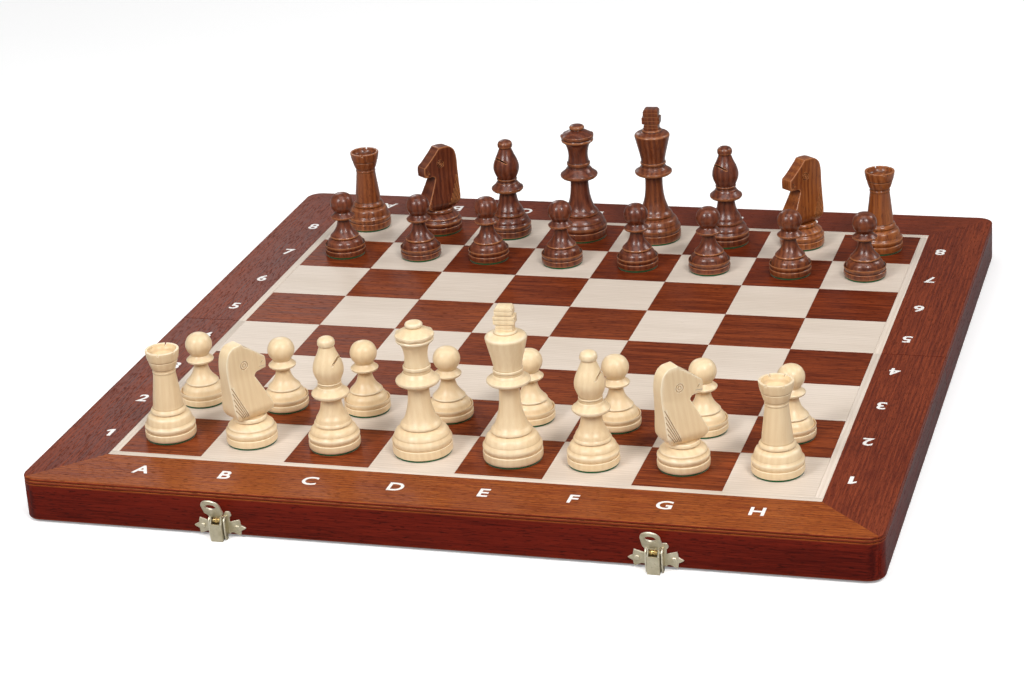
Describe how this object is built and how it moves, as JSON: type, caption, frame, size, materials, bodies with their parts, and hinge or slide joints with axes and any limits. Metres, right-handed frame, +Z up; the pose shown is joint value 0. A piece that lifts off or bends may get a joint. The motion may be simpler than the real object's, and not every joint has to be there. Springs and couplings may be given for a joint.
{
  "type": "chess set with folding board",
  "caption": "Wooden chess set: turned and carved pieces with felt bases standing on a hinged folding board with inlaid squares, a mitred border and front latches.",
  "frame": {"origin": "middle of the footprint, latch tabs and strikes included, on the plane that the open board stands on", "axes": "+X along the front edge from file A to file H, +Y from the front edge with the latches to the back, +Z up; the fold line runs along X a little behind the origin"},
  "size_m": [0.486, 0.5038, 0.1177],
  "materials": {
    "mahogany": "satin lacquer over red-brown stained hardwood",
    "dark_veneer": "satin lacquered red-brown veneer",
    "light_veneer": "satin lacquered cream veneer",
    "plywood": "raw plywood",
    "pale_wood": "satin lacquered pale turned wood",
    "stained_wood": "gloss lacquered dark red-brown turned wood",
    "green_felt": "dark green felt",
    "pale_brass": "pale brass plating",
    "spring_brass": "bright brass wire"
  },
  "bodies": {
    "near_half": {"near_frame": "mahogany", "near_panel": "plywood", "near_border": "mahogany", "near_dark_squares": "dark_veneer", "near_light_squares": "light_veneer", "near_stringing": "light_veneer", "near_lining": "green_felt", "hinge_near_leaves": "pale_brass", "hinge_pins": "pale_brass", "hinge_near_screws": "pale_brass", "latch_plates": "pale_brass", "latch_pins": "pale_brass", "latch_springs": "spring_brass", "latch_nails": "pale_brass"},
    "far_half": {"far_frame": "mahogany", "far_panel": "plywood", "far_border": "mahogany", "far_dark_squares": "dark_veneer", "far_light_squares": "light_veneer", "far_stringing": "light_veneer", "far_lining": "green_felt", "hinge_far_leaves": "pale_brass", "hinge_far_screws": "pale_brass", "strikes": "pale_brass", "strike_nails": "pale_brass"},
    "left_latch": {"latch_left_lever": "pale_brass"},
    "right_latch": {"latch_right_lever": "pale_brass"},
    "white_king": {"white_king": "pale_wood"},
    "white_queen": {"white_queen": "pale_wood"},
    "white_bishop_c": {"white_bishop_c": "pale_wood"},
    "white_bishop_f": {"white_bishop_f": "pale_wood"},
    "white_knight_b": {"white_knight_b": "pale_wood"},
    "white_knight_g": {"white_knight_g": "pale_wood"},
    "white_rook_a": {"white_rook_a": "pale_wood"},
    "white_rook_h": {"white_rook_h": "pale_wood"},
    "white_pawn_a": {"white_pawn_a": "pale_wood"},
    "white_pawn_b": {"white_pawn_b": "pale_wood"},
    "white_pawn_c": {"white_pawn_c": "pale_wood"},
    "white_pawn_d": {"white_pawn_d": "pale_wood"},
    "white_pawn_e": {"white_pawn_e": "pale_wood"},
    "white_pawn_f": {"white_pawn_f": "pale_wood"},
    "white_pawn_g": {"white_pawn_g": "pale_wood"},
    "white_pawn_h": {"white_pawn_h": "pale_wood"},
    "black_king": {"black_king": "stained_wood"},
    "black_queen": {"black_queen": "stained_wood"},
    "black_bishop_c": {"black_bishop_c": "stained_wood"},
    "black_bishop_f": {"black_bishop_f": "stained_wood"},
    "black_knight_b": {"black_knight_b": "stained_wood"},
    "black_knight_g": {"black_knight_g": "stained_wood"},
    "black_rook_a": {"black_rook_a": "stained_wood"},
    "black_rook_h": {"black_rook_h": "stained_wood"},
    "black_pawn_a": {"black_pawn_a": "stained_wood"},
    "black_pawn_b": {"black_pawn_b": "stained_wood"},
    "black_pawn_c": {"black_pawn_c": "stained_wood"},
    "black_pawn_d": {"black_pawn_d": "stained_wood"},
    "black_pawn_e": {"black_pawn_e": "stained_wood"},
    "black_pawn_f": {"black_pawn_f": "stained_wood"},
    "black_pawn_g": {"black_pawn_g": "stained_wood"},
    "black_pawn_h": {"black_pawn_h": "stained_wood"}
  },
  "joints": [
    {"name": "fold", "type": "hinge", "parent": "near_half", "child": "far_half", "pos_m": [0, 0.00535, 0.0015], "axis": [-1, 0, 0], "range_deg": [0, 180]},
    {"name": "left_latch_release", "type": "hinge", "parent": "near_half", "child": "left_latch", "pos_m": [-0.123, -0.24125, 0.0115], "axis": [-1, 0, 0], "range_deg": [0, 25], "stiffness_Nm_per_rad": 0.02, "springref_deg": -17.19},
    {"name": "right_latch_release", "type": "hinge", "parent": "near_half", "child": "right_latch", "pos_m": [0.123, -0.24125, 0.0115], "axis": [-1, 0, 0], "range_deg": [0, 25], "stiffness_Nm_per_rad": 0.02, "springref_deg": -17.19},
    {"name": "white_king_lift", "type": "slide", "parent": "near_half", "child": "white_king", "axis": [0, 0, 1], "range_m": [0, 0.12]},
    {"name": "white_queen_lift", "type": "slide", "parent": "near_half", "child": "white_queen", "axis": [0, 0, 1], "range_m": [0, 0.12]},
    {"name": "white_bishop_c_lift", "type": "slide", "parent": "near_half", "child": "white_bishop_c", "axis": [0, 0, 1], "range_m": [0, 0.12]},
    {"name": "white_bishop_f_lift", "type": "slide", "parent": "near_half", "child": "white_bishop_f", "axis": [0, 0, 1], "range_m": [0, 0.12]},
    {"name": "white_knight_b_lift", "type": "slide", "parent": "near_half", "child": "white_knight_b", "axis": [0, 0, 1], "range_m": [0, 0.12]},
    {"name": "white_knight_g_lift", "type": "slide", "parent": "near_half", "child": "white_knight_g", "axis": [0, 0, 1], "range_m": [0, 0.12]},
    {"name": "white_rook_a_lift", "type": "slide", "parent": "near_half", "child": "white_rook_a", "axis": [0, 0, 1], "range_m": [0, 0.12]},
    {"name": "white_rook_h_lift", "type": "slide", "parent": "near_half", "child": "white_rook_h", "axis": [0, 0, 1], "range_m": [0, 0.12]},
    {"name": "white_pawn_a_lift", "type": "slide", "parent": "near_half", "child": "white_pawn_a", "axis": [0, 0, 1], "range_m": [0, 0.12]},
    {"name": "white_pawn_b_lift", "type": "slide", "parent": "near_half", "child": "white_pawn_b", "axis": [0, 0, 1], "range_m": [0, 0.12]},
    {"name": "white_pawn_c_lift", "type": "slide", "parent": "near_half", "child": "white_pawn_c", "axis": [0, 0, 1], "range_m": [0, 0.12]},
    {"name": "white_pawn_d_lift", "type": "slide", "parent": "near_half", "child": "white_pawn_d", "axis": [0, 0, 1], "range_m": [0, 0.12]},
    {"name": "white_pawn_e_lift", "type": "slide", "parent": "near_half", "child": "white_pawn_e", "axis": [0, 0, 1], "range_m": [0, 0.12]},
    {"name": "white_pawn_f_lift", "type": "slide", "parent": "near_half", "child": "white_pawn_f", "axis": [0, 0, 1], "range_m": [0, 0.12]},
    {"name": "white_pawn_g_lift", "type": "slide", "parent": "near_half", "child": "white_pawn_g", "axis": [0, 0, 1], "range_m": [0, 0.12]},
    {"name": "white_pawn_h_lift", "type": "slide", "parent": "near_half", "child": "white_pawn_h", "axis": [0, 0, 1], "range_m": [0, 0.12]},
    {"name": "black_king_lift", "type": "slide", "parent": "far_half", "child": "black_king", "axis": [0, 0, 1], "range_m": [0, 0.12]},
    {"name": "black_queen_lift", "type": "slide", "parent": "far_half", "child": "black_queen", "axis": [0, 0, 1], "range_m": [0, 0.12]},
    {"name": "black_bishop_c_lift", "type": "slide", "parent": "far_half", "child": "black_bishop_c", "axis": [0, 0, 1], "range_m": [0, 0.12]},
    {"name": "black_bishop_f_lift", "type": "slide", "parent": "far_half", "child": "black_bishop_f", "axis": [0, 0, 1], "range_m": [0, 0.12]},
    {"name": "black_knight_b_lift", "type": "slide", "parent": "far_half", "child": "black_knight_b", "axis": [0, 0, 1], "range_m": [0, 0.12]},
    {"name": "black_knight_g_lift", "type": "slide", "parent": "far_half", "child": "black_knight_g", "axis": [0, 0, 1], "range_m": [0, 0.12]},
    {"name": "black_rook_a_lift", "type": "slide", "parent": "far_half", "child": "black_rook_a", "axis": [0, 0, 1], "range_m": [0, 0.12]},
    {"name": "black_rook_h_lift", "type": "slide", "parent": "far_half", "child": "black_rook_h", "axis": [0, 0, 1], "range_m": [0, 0.12]},
    {"name": "black_pawn_a_lift", "type": "slide", "parent": "far_half", "child": "black_pawn_a", "axis": [0, 0, 1], "range_m": [0, 0.12]},
    {"name": "black_pawn_b_lift", "type": "slide", "parent": "far_half", "child": "black_pawn_b", "axis": [0, 0, 1], "range_m": [0, 0.12]},
    {"name": "black_pawn_c_lift", "type": "slide", "parent": "far_half", "child": "black_pawn_c", "axis": [0, 0, 1], "range_m": [0, 0.12]},
    {"name": "black_pawn_d_lift", "type": "slide", "parent": "far_half", "child": "black_pawn_d", "axis": [0, 0, 1], "range_m": [0, 0.12]},
    {"name": "black_pawn_e_lift", "type": "slide", "parent": "far_half", "child": "black_pawn_e", "axis": [0, 0, 1], "range_m": [0, 0.12]},
    {"name": "black_pawn_f_lift", "type": "slide", "parent": "far_half", "child": "black_pawn_f", "axis": [0, 0, 1], "range_m": [0, 0.12]},
    {"name": "black_pawn_g_lift", "type": "slide", "parent": "far_half", "child": "black_pawn_g", "axis": [0, 0, 1], "range_m": [0, 0.12]},
    {"name": "black_pawn_h_lift", "type": "slide", "parent": "far_half", "child": "black_pawn_h", "axis": [0, 0, 1], "range_m": [0, 0.12]}
  ]
}
